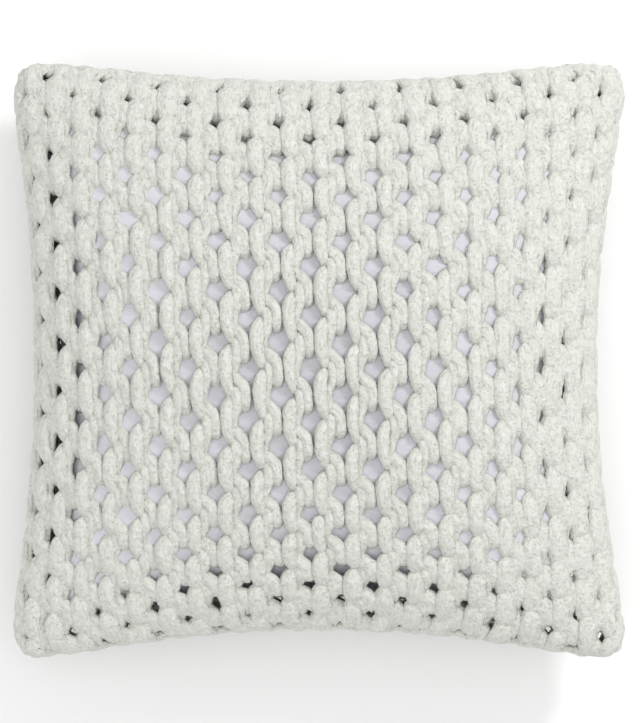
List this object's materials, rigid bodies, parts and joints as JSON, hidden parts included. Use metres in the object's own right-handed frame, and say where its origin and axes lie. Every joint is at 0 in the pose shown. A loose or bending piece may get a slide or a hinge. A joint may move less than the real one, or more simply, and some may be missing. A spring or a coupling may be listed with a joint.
{
  "type": "throw pillow",
  "caption": "Square throw pillow with a chunky open honeycomb knit cover, a zip hidden in its bottom edge and a filled cloth insert.",
  "frame": {"origin": "middle of the flat patch of the back panel that the pillow rests on, below the middle of its box", "axes": "+Z out of the front panel, +Y towards the top edge, +X towards the right edge seen from the front, X is the longer side"},
  "size_m": [0.4786, 0.4652, 0.1543],
  "materials": {
    "knit_yarn": "matte",
    "insert_cloth": "matte",
    "filling_fibre": "matte",
    "zip_tape": "matte",
    "zip_teeth": "satin",
    "zip_metal": "satin",
    "sewing_thread": "matte",
    "label_satin": "satin"
  },
  "bodies": {
    "cover": {"knitted_front": "knit_yarn", "knitted_back": "knit_yarn", "seam_bottom_left": "knit_yarn", "seam_bottom_right": "knit_yarn", "seam_right": "knit_yarn", "seam_top": "knit_yarn", "seam_left": "knit_yarn", "zip_tape_front": "zip_tape", "zip_tape_back": "zip_tape", "zip_teeth_front": "zip_teeth", "zip_teeth_back": "zip_teeth", "zip_stitch_front": "sewing_thread", "zip_stitch_back": "sewing_thread", "zip_top_stop_front": "zip_metal", "zip_top_stop_back": "zip_metal", "zip_bottom_stop": "zip_metal", "care_label": "label_satin", "insert_casing_front": "insert_cloth", "insert_casing_back": "insert_cloth", "insert_seam": "insert_cloth", "fibre_filling": "filling_fibre"},
    "slider": {"zip_slider": "zip_metal", "zip_slider_bridge": "zip_metal"},
    "pull": {"zip_pull_tab": "zip_metal"}
  },
  "joints": [
    {"name": "zip_slide", "type": "slide", "parent": "cover", "child": "slider", "axis": [-1, 0, 0], "range_m": [0, 0.27]},
    {"name": "pull_swing", "type": "hinge", "parent": "slider", "child": "pull", "pos_m": [0.135, -0.2008, 0.0703], "axis": [0, 0, 1], "range_deg": [0, 180]}
  ]
}
